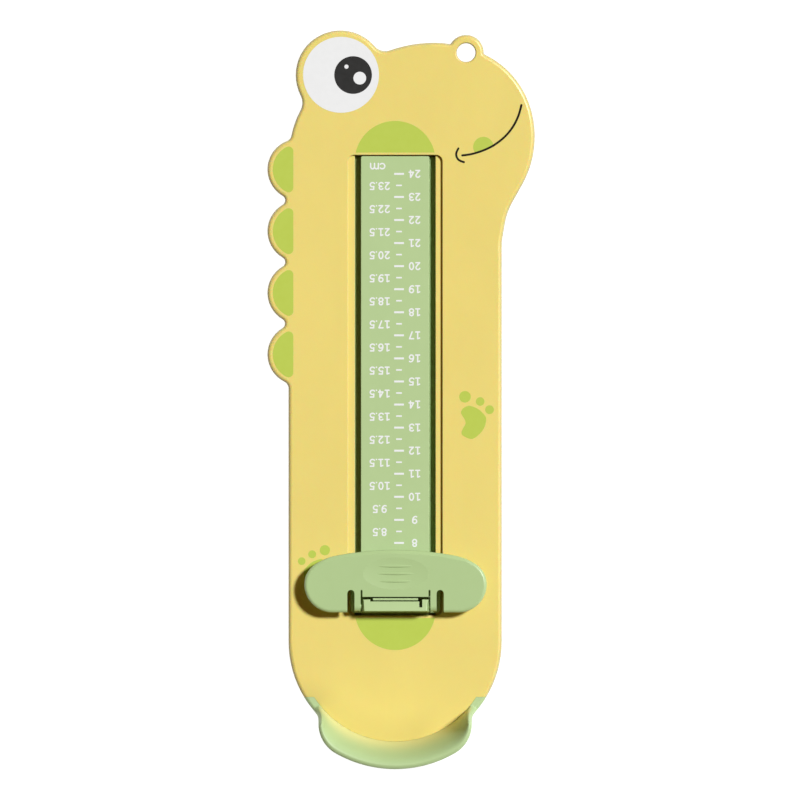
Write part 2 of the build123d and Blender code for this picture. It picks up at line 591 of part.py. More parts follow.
def main():
    pieces = {
        "top_shell": make_top_shell(),
        "bottom_cover": make_bottom_cover(),
        "scale_rail": make_scale_rail(),
        "heel_cup": make_heel_cup(),
        "slider_carriage": make_slider_carriage(),
        "toe_flap": make_toe_flap(),
        "case_screws": Compound(children=[screw(u, v) for u, v in CASE_SCREWS]),
        "heel_cup_screws": Compound(children=[screw(u, v) for u, v in CUP_SCREWS]),
    }
    for name, (u, v) in PADS.items():
        pieces[name] = make_pad(u, v)
    for name, shape in pieces.items():
        export_step(shape, os.path.join(OUT, name + ".step"))
        bb = shape.bounding_box()
        print(name, len(shape.solids()), "solids", round(shape.volume), "mm3", bb.min, bb.max)
    return pieces


if __name__ == "__main__":
    main()
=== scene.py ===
import math

import bmesh
import bpy
import numpy as np
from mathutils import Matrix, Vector
from mathutils.geometry import tessellate_polygon


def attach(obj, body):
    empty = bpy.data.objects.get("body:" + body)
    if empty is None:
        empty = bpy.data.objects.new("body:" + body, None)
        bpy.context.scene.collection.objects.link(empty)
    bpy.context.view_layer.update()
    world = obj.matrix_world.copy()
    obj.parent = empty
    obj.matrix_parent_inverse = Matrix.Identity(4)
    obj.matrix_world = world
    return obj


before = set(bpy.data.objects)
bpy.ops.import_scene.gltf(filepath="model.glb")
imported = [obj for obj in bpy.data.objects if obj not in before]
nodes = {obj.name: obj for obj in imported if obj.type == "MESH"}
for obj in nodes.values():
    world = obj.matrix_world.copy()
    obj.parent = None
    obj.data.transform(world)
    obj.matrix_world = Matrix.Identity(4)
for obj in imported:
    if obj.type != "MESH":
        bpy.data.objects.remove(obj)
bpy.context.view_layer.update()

MM = 0.001
CX = -2.56              # plan coordinates (u, v) are in millimetres; u is measured from the rail's centreline
Z_PLATE = 8.8           # top of the plate
Z_RAIL = 7.3            # top of the scale rail
INK_UP, INK_DOWN = 0.03, 0.02

scene = bpy.context.scene
scene.view_settings.view_transform = "Standard"
scene.view_settings.look = "None"


# ------------------------------------------------------------------ node material helpers
def new_material(name):
    m = bpy.data.materials.new(name)
    m.use_nodes = True
    m.node_tree.nodes.clear()
    return m, m.node_tree


def add(nt, kind, **values):
    n = nt.nodes.new(kind)
    for k, v in values.items():
        if k in n.inputs:
            n.inputs[k].default_value = v
        else:
            setattr(n, k, v)
    return n


def noise(nt, vector, scale, detail=2.0, rough=0.5, distortion=0.0):
    n = nt.nodes.new("ShaderNodeTexNoise")
    n.inputs["Scale"].default_value = scale
    n.inputs["Detail"].default_value = detail
    n.inputs["Roughness"].default_value = rough
    n.inputs["Distortion"].default_value = distortion
    nt.links.new(vector, n.inputs["Vector"])
    return n.outputs["Fac"]


def remap(nt, value, lo, hi, to_lo, to_hi, smooth=False):
    n = nt.nodes.new("ShaderNodeMapRange")
    n.interpolation_type = "SMOOTHSTEP" if smooth else "LINEAR"
    n.inputs["From Min"].default_value = lo
    n.inputs["From Max"].default_value = hi
    n.inputs["To Min"].default_value = to_lo
    n.inputs["To Max"].default_value = to_hi
    nt.links.new(value, n.inputs["Value"])
    return n.outputs["Result"]


def math_node(nt, op, a, b=None):
    n = nt.nodes.new("ShaderNodeMath")
    n.operation = op
    for i, x in enumerate((a, b)):
        if x is None:
            continue
        if isinstance(x, (int, float)):
            n.inputs[i].default_value = x
        else:
            nt.links.new(x, n.inputs[i])
    return n.outputs[0]


def mix_color(nt, fac, a, b, blend="MIX"):
    n = nt.nodes.new("ShaderNodeMix")
    n.data_type = "RGBA"
    n.blend_type = blend
    for key, x in (("Factor", fac), ("A", a), ("B", b)):
        socket = [s for s in n.inputs if s.name == key and (s.type == "RGBA" or key == "Factor" and s.type == "VALUE")][0]
        if isinstance(x, (int, float)):
            socket.default_value = x
        elif isinstance(x, tuple):
            socket.default_value = (*x, 1.0)
        else:
            nt.links.new(x, socket)
    return [s for s in n.outputs if s.type == "RGBA"][0]


def times(rgb, k):
    return tuple(min(1.0, c * k) for c in rgb)


def moulded(name, rgb, roughness=0.36, edge_light=0.10, grain=0.35, bevel=0.00022, mottle=0.016, painted_light_zone=None,
            side=None, painted_shade_tilt=(0.985, 0.62), glow=0.0):
    """Satin injection-moulded plastic: fine spark-eroded texture, faint flow mottling, polished and slightly paler edges,
    a few hair scuffs that only show in the gloss."""
    m, nt = new_material(name)
    out = add(nt, "ShaderNodeOutputMaterial")
    bsdf = add(nt, "ShaderNodeBsdfPrincipled")
    nt.links.new(bsdf.outputs["BSDF"], out.inputs["Surface"])
    bsdf.inputs["IOR"].default_value = 1.49
    place = add(nt, "ShaderNodeTexCoord")
    coord = place.outputs["Object"]
    # colour: slow mottling from the melt flow, fine speckle, paler rubbed edges
    stretch = add(nt, "ShaderNodeMapping")
    stretch.inputs["Scale"].default_value = (1.0, 0.45, 1.0)
    nt.links.new(coord, stretch.inputs["Vector"])
    flow = noise(nt, stretch.outputs["Vector"], 38.0, 4.0, 0.55, 0.6)
    speck = noise(nt, coord, 1900.0, 2.0, 0.6)
    base = mix_color(nt, remap(nt, flow, 0.3, 0.7, 0.0, 1.0, True), times(rgb, 1 - mottle), times(rgb, 1 + mottle))
    base = mix_color(nt, remap(nt, speck, 0.35, 0.65, 0.0, 0.35), base, times(rgb, 0.985))
    bev = add(nt, "ShaderNodeBevel", samples=6)
    bev.inputs["Radius"].default_value = bevel
    geo = add(nt, "ShaderNodeNewGeometry")
    dot = nt.nodes.new("ShaderNodeVectorMath")
    dot.operation = "DOT_PRODUCT"
    nt.links.new(bev.outputs["Normal"], dot.inputs[0])
    nt.links.new(geo.outputs["Normal"], dot.inputs[1])
    edge = remap(nt, math_node(nt, "ABSOLUTE", dot.outputs["Value"]), 0.995, 0.86, 0.0, 1.0)
    worn = math_node(nt, "MULTIPLY", edge, remap(nt, noise(nt, coord, 160.0, 3.0, 0.6), 0.42, 0.62, 0.25, 1.0))
    base = mix_color(nt, math_node(nt, "MULTIPLY", worn, edge_light), base, tuple(min(1.0, c * 0.7 + 0.3) for c in rgb))
    if side:
        # painted shade: faces that tilt away from straight up (side walls, rounded rims, slits) are mixed toward the
        # darker side tone, standing in for how the light falls on them
        up = nt.nodes.new("ShaderNodeSeparateXYZ")
        nt.links.new(place.outputs["Normal"], up.inputs[0])
        base = mix_color(nt, remap(nt, math_node(nt, "ABSOLUTE", up.outputs["Z"]), *painted_shade_tilt, 0.0, 1.0), base, side)
    # painted light: the caller's mask and tone paint shade or reflected light into the base colour
    if painted_light_zone:
        fac, tone = painted_light_zone(nt, coord, place.outputs["Normal"])
        base = mix_color(nt, fac, base, tone)
    nt.links.new(base, bsdf.inputs["Base Color"])
    if glow:
        bsdf.inputs["Subsurface Weight"].default_value = glow
        bsdf.inputs["Subsurface Radius"].default_value = (1.0, 0.30, 0.08)
        bsdf.inputs["Subsurface Scale"].default_value = 0.0012
    # gloss: uneven satin, with fine hair scuffs
    scuff_map = add(nt, "ShaderNodeMapping")
    scuff_map.inputs["Rotation"].default_value = (0.0, 0.0, 0.5)
    scuff_map.inputs["Scale"].default_value = (1.0, 26.0, 1.0)
    nt.links.new(coord, scuff_map.inputs["Vector"])
    scuff = remap(nt, noise(nt, scuff_map.outputs["Vector"], 90.0, 5.0, 0.7, 0.3), 0.66, 0.72, 0.0, 0.06)
    satin = remap(nt, noise(nt, coord, 240.0, 3.0, 0.6), 0.3, 0.7, roughness - 0.03, roughness + 0.04)
    rough = math_node(nt, "ADD", satin, scuff)
    rough = math_node(nt, "SUBTRACT", rough, math_node(nt, "MULTIPLY", worn, 0.05))
    nt.links.new(rough, bsdf.inputs["Roughness"])
    # relief: spark-eroded grain over a very shallow sink waviness
    relief = math_node(nt, "ADD", math_node(nt, "MULTIPLY", noise(nt, coord, 2600.0, 2.0, 0.55), 0.9),
                       math_node(nt, "MULTIPLY", noise(nt, coord, 5200.0, 1.0, 0.5), 0.45))
    bump = add(nt, "ShaderNodeBump")
    bump.inputs["Strength"].default_value = grain
    bump.inputs["Distance"].default_value = 0.00002
    nt.links.new(relief, bump.inputs["Height"])
    nt.links.new(bev.outputs["Normal"], bump.inputs["Normal"])
    wave = add(nt, "ShaderNodeBump")
    wave.inputs["Strength"].default_value = 0.25
    wave.inputs["Distance"].default_value = 0.00006
    nt.links.new(noise(nt, coord, 60.0, 2.0, 0.5), wave.inputs["Height"])
    nt.links.new(bump.outputs["Normal"], wave.inputs["Normal"])
    nt.links.new(wave.outputs["Normal"], bsdf.inputs["Normal"])
    return m


def ink(name, rgb, roughness=0.42, specular=0.5):
    """Pad-printed ink film: it follows the plastic's grain, with slight unevenness of the film."""
    m, nt = new_material(name)
    out = add(nt, "ShaderNodeOutputMaterial")
    bsdf = add(nt, "ShaderNodeBsdfPrincipled")
    nt.links.new(bsdf.outputs["BSDF"], out.inputs["Surface"])
    bsdf.inputs["IOR"].default_value = 1.47
    bsdf.inputs["Specular IOR Level"].default_value = specular
    coord = add(nt, "ShaderNodeTexCoord").outputs["Object"]
    film = noise(nt, coord, 420.0, 4.0, 0.65)
    dots = noise(nt, coord, 3000.0, 2.0, 0.6)
    base = mix_color(nt, remap(nt, film, 0.3, 0.7, 0.0, 1.0, True), times(rgb, 0.992), times(rgb, 1.007))
    base = mix_color(nt, remap(nt, dots, 0.62, 0.74, 0.0, 0.4), base, times(rgb, 0.95))
    nt.links.new(base, bsdf.inputs["Base Color"])
    nt.links.new(remap(nt, film, 0.3, 0.7, roughness - 0.04, roughness + 0.05), bsdf.inputs["Roughness"])
    relief = math_node(nt, "ADD", math_node(nt, "MULTIPLY", noise(nt, coord, 2600.0, 2.0, 0.55), 0.7),
                       math_node(nt, "MULTIPLY", film, 0.3))
    bump = add(nt, "ShaderNodeBump")
    bump.inputs["Strength"].default_value = 0.3
    bump.inputs["Distance"].default_value = 0.00002
    nt.links.new(relief, bump.inputs["Height"])
    nt.links.new(bump.outputs["Normal"], bsdf.inputs["Normal"])
    return m


def zinc(name):
    """Zinc-plated steel with turning marks and a faint yellowish passivation."""
    m, nt = new_material(name)
    out = add(nt, "ShaderNodeOutputMaterial")
    bsdf = add(nt, "ShaderNodeBsdfPrincipled")
    nt.links.new(bsdf.outputs["BSDF"], out.inputs["Surface"])
    bsdf.inputs["Metallic"].default_value = 1.0
    coord = add(nt, "ShaderNodeTexCoord").outputs["Object"]
    cloud = noise(nt, coord, 900.0, 4.0, 0.6)
    base = mix_color(nt, remap(nt, cloud, 0.35, 0.65, 0.0, 1.0), (0.60, 0.60, 0.58), (0.74, 0.72, 0.66))
    nt.links.new(base, bsdf.inputs["Base Color"])
    nt.links.new(remap(nt, cloud, 0.3, 0.7, 0.26, 0.44), bsdf.inputs["Roughness"])
    bump = add(nt, "ShaderNodeBump")
    bump.inputs["Strength"].default_value = 0.5
    bump.inputs["Distance"].default_value = 0.00002
    marks = add(nt, "ShaderNodeMapping")
    marks.inputs["Scale"].default_value = (1.0, 1.0, 9.0)
    nt.links.new(coord, marks.inputs["Vector"])
    nt.links.new(noise(nt, marks.outputs["Vector"], 2400.0, 2.0, 0.5), bump.inputs["Height"])
    nt.links.new(bump.outputs["Normal"], bsdf.inputs["Normal"])
    return m


def rubber(name):
    """Grey anti-slip rubber with a pebbled grain and a little dust in it."""
    m, nt = new_material(name)
    out = add(nt, "ShaderNodeOutputMaterial")
    bsdf = add(nt, "ShaderNodeBsdfPrincipled")
    nt.links.new(bsdf.outputs["BSDF"], out.inputs["Surface"])
    coord = add(nt, "ShaderNodeTexCoord").outputs["Object"]
    cells = nt.nodes.new("ShaderNodeTexVoronoi")
    cells.inputs["Scale"].default_value = 1400.0
    nt.links.new(coord, cells.inputs["Vector"])
    dust = noise(nt, coord, 300.0, 5.0, 0.65)
    base = mix_color(nt, remap(nt, dust, 0.45, 0.75, 0.0, 0.7), (0.035, 0.035, 0.034), (0.11, 0.105, 0.095))
    nt.links.new(base, bsdf.inputs["Base Color"])
    nt.links.new(remap(nt, dust, 0.3, 0.7, 0.62, 0.88), bsdf.inputs["Roughness"])
    bump = add(nt, "ShaderNodeBump")
    bump.inputs["Strength"].default_value = 0.6
    bump.inputs["Distance"].default_value = 0.00008
    nt.links.new(cells.outputs["Distance"], bump.inputs["Height"])
    nt.links.new(bump.outputs["Normal"], bsdf.inputs["Normal"])
    return m


YELLOW = (0.804, 0.673, 0.196)
STRIP = (0.440, 0.598, 0.297)
FLAP = (0.412, 0.572, 0.276)
LIME = (0.470, 0.596, 0.078)
WHITE = (0.797, 0.828, 0.866)
DARK = (0.0135, 0.0145, 0.0155)
LINE = (0.0080, 0.0055, 0.0010)

SEAM_C, SEAM_R = (CX, -106.60), 41.60       # seam between the plate and the heel cup


def seam_distance(nt, coord):
    """Distance outward from the seam circle in metres, the point's coordinates and its offset from the circle's centre."""
    sep = nt.nodes.new("ShaderNodeSeparateXYZ")
    nt.links.new(coord, sep.inputs[0])
    dx = math_node(nt, "SUBTRACT", sep.outputs["X"], SEAM_C[0] * MM)
    dy = math_node(nt, "SUBTRACT", sep.outputs["Y"], SEAM_C[1] * MM)
    r = math_node(nt, "SQRT", math_node(nt, "ADD", math_node(nt, "MULTIPLY", dx, dx), math_node(nt, "MULTIPLY", dy, dy)))
    return math_node(nt, "SUBTRACT", r, SEAM_R * MM), sep, (dx, dy, r)


def heel_shade(nt, coord, normal):
    """Painted shade: the plate is darkened close to the heel wall, toward the back and on the left, fading toward the
    right.
    """
    d, sep, off = seam_distance(nt, coord)
    near = remap(nt, d, -15.0 * MM, 0.0, 0.0, 1.0, True)
    back = remap(nt, sep.outputs["Y"], -118.0 * MM, -136.0 * MM, 0.0, 1.0, True)
    patch = remap(nt, noise(nt, coord, 70.0, 3.0, 0.5), 0.3, 0.7, 0.92, 1.0)
    side = remap(nt, sep.outputs["X"], 5.0 * MM, 20.0 * MM, 1.0, 0.0, True)
    near = math_node(nt, "MULTIPLY", near, side)
    return math_node(nt, "MULTIPLY", math_node(nt, "MULTIPLY", near, back), patch), times(YELLOW, 0.83)


# yellowish tone of the painted reflection of the plate on the heel wall's foot
CUP_PAINTED_REFLECTION = (0.77, 0.79, 0.375)


def cup_foot(nt, coord, normal):
    """Painted reflection: the inner face of the heel wall is tinted yellow at its foot, fading toward the rim, standing
    in for light reflected from the yellow plate.
    """
    d, sep, (dx, dy, r) = seam_distance(nt, coord)
    low = remap(nt, sep.outputs["Z"], (Z_PLATE + 20.0) * MM, Z_PLATE * MM, 0.0, 1.0, True)
    wall = remap(nt, sep.outputs["Y"], -131.5 * MM, -136.0 * MM, 0.0, 1.0, True)
    n = nt.nodes.new("ShaderNodeSeparateXYZ")
    nt.links.new(normal, n.inputs[0])
    facing = math_node(nt, "ADD", math_node(nt, "MULTIPLY", n.outputs["X"], dx), math_node(nt, "MULTIPLY", n.outputs["Y"], dy))
    inner = remap(nt, math_node(nt, "DIVIDE", facing, r), -0.15, -0.6, 0.0, 1.0, True)
    return math_node(nt, "MULTIPLY", math_node(nt, "MULTIPLY", low, wall), inner), CUP_PAINTED_REFLECTION


def rail_floor(nt, coord, normal):
    """Painted shade on the floors of the two slots: darker and olive on the left, a brighter green on the right, as the
    light falls into them.
    """
    sep = nt.nodes.new("ShaderNodeSeparateXYZ")
    nt.links.new(coord, sep.inputs[0])
    n = nt.nodes.new("ShaderNodeSeparateXYZ")
    nt.links.new(normal, n.inputs[0])
    deep = remap(nt, sep.outputs["Z"], 6.2 * MM, 5.0 * MM, 0.0, 1.0, True)
    deep = math_node(nt, "MULTIPLY", deep, remap(nt, n.outputs["Z"], 0.6, 0.9, 0.0, 1.0))
    hand = remap(nt, sep.outputs["X"], (CX - 1.0) * MM, (CX + 1.0) * MM, 0.0, 1.0)
    return deep, mix_color(nt, hand, (0.30, 0.41, 0.13), (0.43, 0.65, 0.28))


# painted shade: the side tones darken tilted faces of the shell, rail, slider and flap; the plate near the heel seam
# and the slot floors get painted shade, and the cup's foot gets a painted reflection of the plate
mat_yellow = moulded("plastic_yellow", YELLOW, edge_light=0.04, grain=0.14, bevel=0.00012, painted_light_zone=heel_shade,
                      side=(0.562, 0.488, 0.230), glow=0.28)
mat_cover = moulded("plastic_yellow_cover", times(YELLOW, 0.97), roughness=0.45, grain=0.7)
mat_rail = moulded("plastic_green_rail", STRIP, side=(0.25, 0.34, 0.14), painted_light_zone=rail_floor)
mat_cup = moulded("plastic_green_cup", STRIP, roughness=0.50, edge_light=0.04, grain=0.2, bevel=0.00012, painted_light_zone=cup_foot)
mat_slide = moulded("plastic_green_slide", STRIP, bevel=0.00018, side=(0.22, 0.31, 0.12), painted_shade_tilt=(0.5, 0.12))
mat_flap = moulded("plastic_green_flap", FLAP, bevel=0.00018, side=(0.22, 0.31, 0.12), painted_shade_tilt=(0.4, 0.08))
mat_lime = ink("ink_lime", LIME)
mat_white = ink("ink_white", WHITE, 0.45)
mat_dark = ink("ink_dark", DARK, 0.40, 0.45)
mat_line = ink("ink_line", LINE, 0.60, 0.2)
mat_zinc = zinc("zinc_plate")
mat_rubber = rubber("rubber_pad")


def paint(node, mat):
    o = nodes[node]
    for s in o.material_slots:
        s.material = mat


paint("top_shell", mat_yellow)
paint("bottom_cover", mat_cover)
paint("scale_rail", mat_rail)
paint("heel_cup", mat_cup)
paint("slider_carriage", mat_slide)
paint("toe_flap", mat_flap)
paint("case_screws", mat_zinc)
paint("heel_cup_screws", mat_zinc)
for n in ("head_pad_left", "head_pad_right", "heel_pad_left", "heel_pad_right"):
    paint(n, mat_rubber)


# ------------------------------------------------------------------ printed shapes
def printed(name, shapes, z, mat, up=INK_UP):
    """Closed ink films. Each shape is [outer loop, hole, ...] of (u, v) points."""
    bm = bmesh.new()
    for loops in shapes:
        tris = tessellate_polygon([[Vector((p[0], p[1], 0.0)) for p in loop] for loop in loops])
        pts = [p for loop in loops for p in loop]
        low = [bm.verts.new(((p[0] + CX) * MM, p[1] * MM, (z - INK_DOWN) * MM)) for p in pts]
        top = [bm.verts.new(((p[0] + CX) * MM, p[1] * MM, (z + up) * MM)) for p in pts]
        for t in tris:
            if len(set(t)) < 3:
                continue
            bm.faces.new([top[i] for i in t])
            bm.faces.new([low[i] for i in reversed(t)])
        start = 0
        for loop in loops:
            k = len(loop)
            for i in range(k):
                a, b = start + i, start + (i + 1) % k
                bm.faces.new((low[a], low[b], top[b], top[a]))
            start += k
    bmesh.ops.recalc_face_normals(bm, faces=bm.faces)
    me = bpy.data.meshes.new(name)
    bm.to_mesh(me)
    bm.free()
    me.materials.append(mat)
    o = bpy.data.objects.new(name, me)
    scene.collection.objects.link(o)
    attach(o, "base")
    return o


def arc(c, r, a0, a1, n):
    return [(c[0] + r * math.cos(math.radians(a0 + (a1 - a0) * k / n)),
             c[1] + r * math.sin(math.radians(a0 + (a1 - a0) * k / n))) for k in range(n + 1)]


def circle(c, r, n=72):
    return arc(c, r, 0, 360, n)[:-1]


def smooth_path(pts, closed=False, per=8):
    """Centripetal-like Catmull-Rom curve through the points."""
    p = [np.array(q, float) for q in pts]
    n = len(p)
    out = []
    for i in range(n if closed else n - 1):
        if closed:
            a, b, c, d = p[i - 1], p[i], p[(i + 1) % n], p[(i + 2) % n]
        else:
            b, c = p[i], p[i + 1]
            a = p[i - 1] if i else 2 * b - c
            d = p[i + 2] if i + 2 < n else 2 * c - b
        for k in range(per):
            t = k / per
            q = 0.5 * ((2 * b) + (c - a) * t + (2 * a - 5 * b + 4 * c - d) * t * t + (3 * b - a - 3 * c + d) * t ** 3)
            out.append((float(q[0]), float(q[1])))
    if not closed:
        out.append((float(p[-1][0]), float(p[-1][1])))
    return out


def ribbon(path, width):
    """Outline of a line of the given width with round ends."""
    p = [np.array(q, float) for q in path]
    n = len(p)
    h = width / 2
    left, right = [], []
    for i in range(n):
        d = p[min(i + 1, n - 1)] - p[max(i - 1, 0)]
        d = d / np.linalg.norm(d)
        m = np.array((-d[1], d[0]))
        left.append(tuple(p[i] + h * m))
        right.append(tuple(p[i] - h * m))
    d0 = p[1] - p[0]
    a0 = math.degrees(math.atan2(d0[1], d0[0]))
    d1 = p[-1] - p[-2]
    a1 = math.degrees(math.atan2(d1[1], d1[0]))
    cap1 = arc(p[-1], h, a1 - 90, a1 + 90, 8)[1:-1]
    cap0 = arc(p[0], h, a0 + 90, a0 + 270, 8)[1:-1]
    return right + cap1 + left[::-1] + cap0


def segment_shape(c, r, cut_u, corner):
    """Part of a disc left of the line u = cut_u, with rounded corners."""
    fx = cut_u - corner
    fy = math.sqrt((r - corner) ** 2 - (fx - c[0]) ** 2)
    tilt = math.degrees(math.atan2(fy, fx - c[0]))
    upper = arc((fx, c[1] + fy), corner, 0, tilt, 8)
    big = arc(c, r, tilt, 360 - tilt, 56)
    lower = arc((fx, c[1] - fy), corner, 360 - tilt, 360, 8)
    return upper + big[1:] + lower[1:]


BELLY_R = 17.52
# the two ends of the belly that show past the window
top_c, bottom_c = (0.0, 103.3), (0.0, -91.0)
a = math.degrees(math.asin((107.15 - top_c[1]) / BELLY_R))
b = math.degrees(math.asin((94.6 + bottom_c[1]) / BELLY_R))
printed("print_belly", [[arc(top_c, BELLY_R, a, 180 - a, 72)],
                        [arc(bottom_c, BELLY_R, 180 + b, 360 - b, 72)]], Z_PLATE, mat_lime)

# back spots
printed("print_back_spots", [[segment_shape((-42.11, v), 10.9, -44.15, 2.0)] for v in (19.64, 46.29, 73.06, 99.82)],
        Z_PLATE, mat_lime)

# eye
printed("print_eye_white", [[circle((-23.47, 140.83), 16.45, 120)]], Z_PLATE, mat_white)
printed("print_pupil", [[circle((-18.23, 140.73), 8.17, 96)]], Z_PLATE + INK_UP, mat_dark, up=0.02)
printed("print_eye_lights", [[circle((-15.33, 139.39), 2.76, 56)], [circle((-21.11, 144.36), 0.9, 32)]],
        Z_PLATE + INK_UP + 0.02, mat_white, up=0.02)

# mouth and cheek
SMILE = [(29.10, 105.90), (30.93, 106.10), (33.53, 106.57), (36.13, 107.32), (38.73, 108.27), (41.33, 109.49), (43.60, 110.84),
         (46.66, 113.20), (49.23, 115.84), (51.12, 118.44), (52.56, 121.04), (53.62, 123.64), (54.37, 126.24), (54.72, 127.70)]
HOOK = [(27.40, 108.90), (26.72, 107.55), (26.46, 106.30), (26.76, 105.05), (27.50, 104.00), (28.55, 103.40), (29.80, 102.98)]
printed("print_smile", [[ribbon(smooth_path(SMILE), 0.93)]], Z_PLATE + 0.004, mat_line)
printed("print_mouth_corner", [[ribbon(smooth_path(HOOK), 0.90)]], Z_PLATE + 0.006, mat_line)
cheek_c, cheek_r = (38.25, 109.53), 4.4
edge = smooth_path(SMILE)


def above_smile(p):
    for q, r in zip(edge, edge[1:]):
        if q[0] <= p[0] <= r[0]:
            return p[1] > q[1] + (r[1] - q[1]) * (p[0] - q[0]) / (r[0] - q[0])
    return True


ring = [p for p in arc(cheek_c, cheek_r, -60, 300, 180)]
kept = [p for p in ring if above_smile(p)]
# order the kept arc so it starts right of the mouth line and ends left of it
kept.sort(key=lambda p: (math.degrees(math.atan2(p[1] - cheek_c[1], p[0] - cheek_c[0])) + 70) % 360)
low_line = [p for p in edge if kept[-1][0] < p[0] < kept[0][0]]
printed("print_cheek", [[kept + low_line]], Z_PLATE, mat_lime)

# footprints: sole and three toes, right one and its mirrored mate nearer the heel
SOLE = [(32.66, -2.73), (35.91, -4.03), (38.73, -6.63), (39.47, -8.58), (38.73, -11.83), (36.99, -14.43), (34.39, -16.60),
        (32.45, -16.95), (29.63, -15.73), (28.76, -14.43), (29.41, -12.48), (30.49, -10.53), (30.28, -8.80), (29.20, -7.06),
        (28.55, -5.55), (29.41, -3.81), (31.15, -2.86)]
TOES = [(30.28, 1.26, 2.5), (36.87, -0.78, 1.85), (40.92, -4.33, 1.9)]
MATE_TOES = [(-30.45, -65.24, 2.2), (-35.96, -67.0, 1.7), (-40.51, -70.0, 1.65)]
printed("print_right_foot", [[smooth_path(SOLE, True, 6)]] + [[circle((u, v), r, 40)] for u, v, r in TOES], Z_PLATE, mat_lime)
printed("print_left_foot", [[smooth_path([(-u - 0.15, v - 66.45) for u, v in SOLE], True, 6)]] +
        [[circle((u, v), r, 40)] for u, v, r in MATE_TOES], Z_PLATE, mat_lime)


# ------------------------------------------------------------------ scale: ticks and numbers
GLYPH_H, GLYPH_W, PEN = 3.55, 2.32, 0.61


def ell(cx, cy, rx, ry, a0, a1, n=26):
    return [(cx + rx * math.cos(math.radians(a0 + (a1 - a0) * k / n)),
             cy + ry * math.sin(math.radians(a0 + (a1 - a0) * k / n))) for k in range(n + 1)]


def glyph_strokes():
    """Pen paths of each character, in millimetres from its lower left corner."""
    H, W, h = GLYPH_H, GLYPH_W, PEN / 2
    top, right, mid = H - h, W - h, W / 2
    g = {}
    g["0"] = [ell(mid, H / 2, mid - h, H / 2 - h, 0, 360, 44)]
    g["1"] = [[(1.22, h), (1.22, top)], [(1.22, top), (0.36, top - 0.30)], [(0.38, h), (W - 0.26, h)]]
    g["2"] = [ell(1.10, top - 0.80, 0.84, 0.80, 158, -28) + [(1.35, 1.35), (0.34, h)], [(0.34, h), (right - 0.02, h)]]
    g["3"] = [ell(1.05, top - 0.71, 0.83, 0.71, 150, -90), ell(1.02, 1.16, 0.97, 1.16 - h, 90, -148), [(0.80, 1.99), (1.10, 1.99)]]
    g["4"] = [[(1.50, top), (0.28, 1.10)], [(0.28, 1.05), (W - 0.12, 1.05)], [(1.58, h), (1.58, top)]]
    g["5"] = [[(0.52, top), (right - 0.06, top)], [(0.52, top), (0.47, 2.02)], ell(1.00, 1.20, 1.0, 1.20 - h, 124, -146)]
    g["6"] = [ell(mid + 0.02, 1.17, 0.86, 1.17 - h, 0, 360, 36), ell(1.52, 1.45, 1.22, top - 1.45, 66, 186)]
    g["7"] = [[(0.26, top), (right, top)], [(right, top), (0.88, h)]]
    g["8"] = [ell(mid, H - h - 0.68, 0.76, 0.68, 0, 360, 36), ell(mid, 1.10, 0.87, 1.10 - h, 0, 360, 36)]
    g["9"] = [[(W - x, H - y) for x, y in s] for s in g["6"]]
    g["."] = [[(0.34, h + 0.02), (0.341, h + 0.02)]]
    g["c"] = [ell(1.42, 1.46, 1.12, 1.46 - h, 44, 316)]
    g["m"] = [[(h, h), (h, 2.92 - h)], ell(1.14, 1.66, 0.84, 0.96, 172, 0) + [(1.98, h)],
              ell(2.82, 1.66, 0.84, 0.96, 172, 0) + [(3.66, h)]]
    return g


ADVANCE = {".": 1.04, "c": 2.78, "m": 3.97}
INK_WIDTH = {".": 0.68, "c": 2.50, "m": 3.97}


def outline_of(strokes, pen, width, height):
    """Outer and inner loops of the area a round pen covers along the strokes (marching squares on its distance field)."""
    step, pad = 0.055, 0.25
    xs = np.arange(-pad, width + pad + step, step)
    ys = np.arange(-pad, height + pad + step, step)
    X, Y = np.meshgrid(xs, ys, indexing="ij")
    F = np.full(X.shape, 1e9)
    for s in strokes:
        for (x0, y0), (x1, y1) in zip(s, s[1:]):
            dx, dy = x1 - x0, y1 - y0
            L = dx * dx + dy * dy + 1e-12
            t = np.clip(((X - x0) * dx + (Y - y0) * dy) / L, 0, 1)
            F = np.minimum(F, np.hypot(X - x0 - t * dx, Y - y0 - t * dy))
    F -= pen / 2
    table = {1: [(0, 3)], 2: [(1, 0)], 4: [(2, 1)], 8: [(3, 2)], 3: [(1, 3)], 6: [(2, 0)], 12: [(3, 1)], 9: [(0, 2)],
             7: [(2, 3)], 14: [(3, 0)], 13: [(0, 1)], 11: [(1, 2)], 5: [(0, 3), (2, 1)], 10: [(1, 0), (3, 2)]}
    follow, place = {}, {}
    for i in range(len(xs) - 1):
        for j in range(len(ys) - 1):
            f = (F[i, j], F[i + 1, j], F[i + 1, j + 1], F[i, j + 1])
            case = sum(1 << k for k in range(4) if f[k] < 0)
            if case in (0, 15):
                continue
            keys = (("h", i, j), ("v", i + 1, j), ("h", i, j + 1), ("v", i, j))
            corner = ((xs[i], ys[j]), (xs[i + 1], ys[j]), (xs[i + 1], ys[j + 1]), (xs[i], ys[j + 1]))
            for s_, e_ in table[case]:
                for k in (s_, e_):
                    p, q = corner[k], corner[(k + 1) % 4]
                    fp, fq = f[k], f[(k + 1) % 4]
                    t = fp / (fp - fq)
                    place[keys[k]] = (float(p[0] + (q[0] - p[0]) * t), float(p[1] + (q[1] - p[1]) * t))
                follow[keys[s_]] = keys[e_]
    loops = []
    while follow:
        first = next(iter(follow))
        loop, key = [], first
        while key in follow:
            loop.append(place[key])
            key = follow.pop(key)
        loops.append(loop)
    return [simplify(l, 0.006) for l in loops]


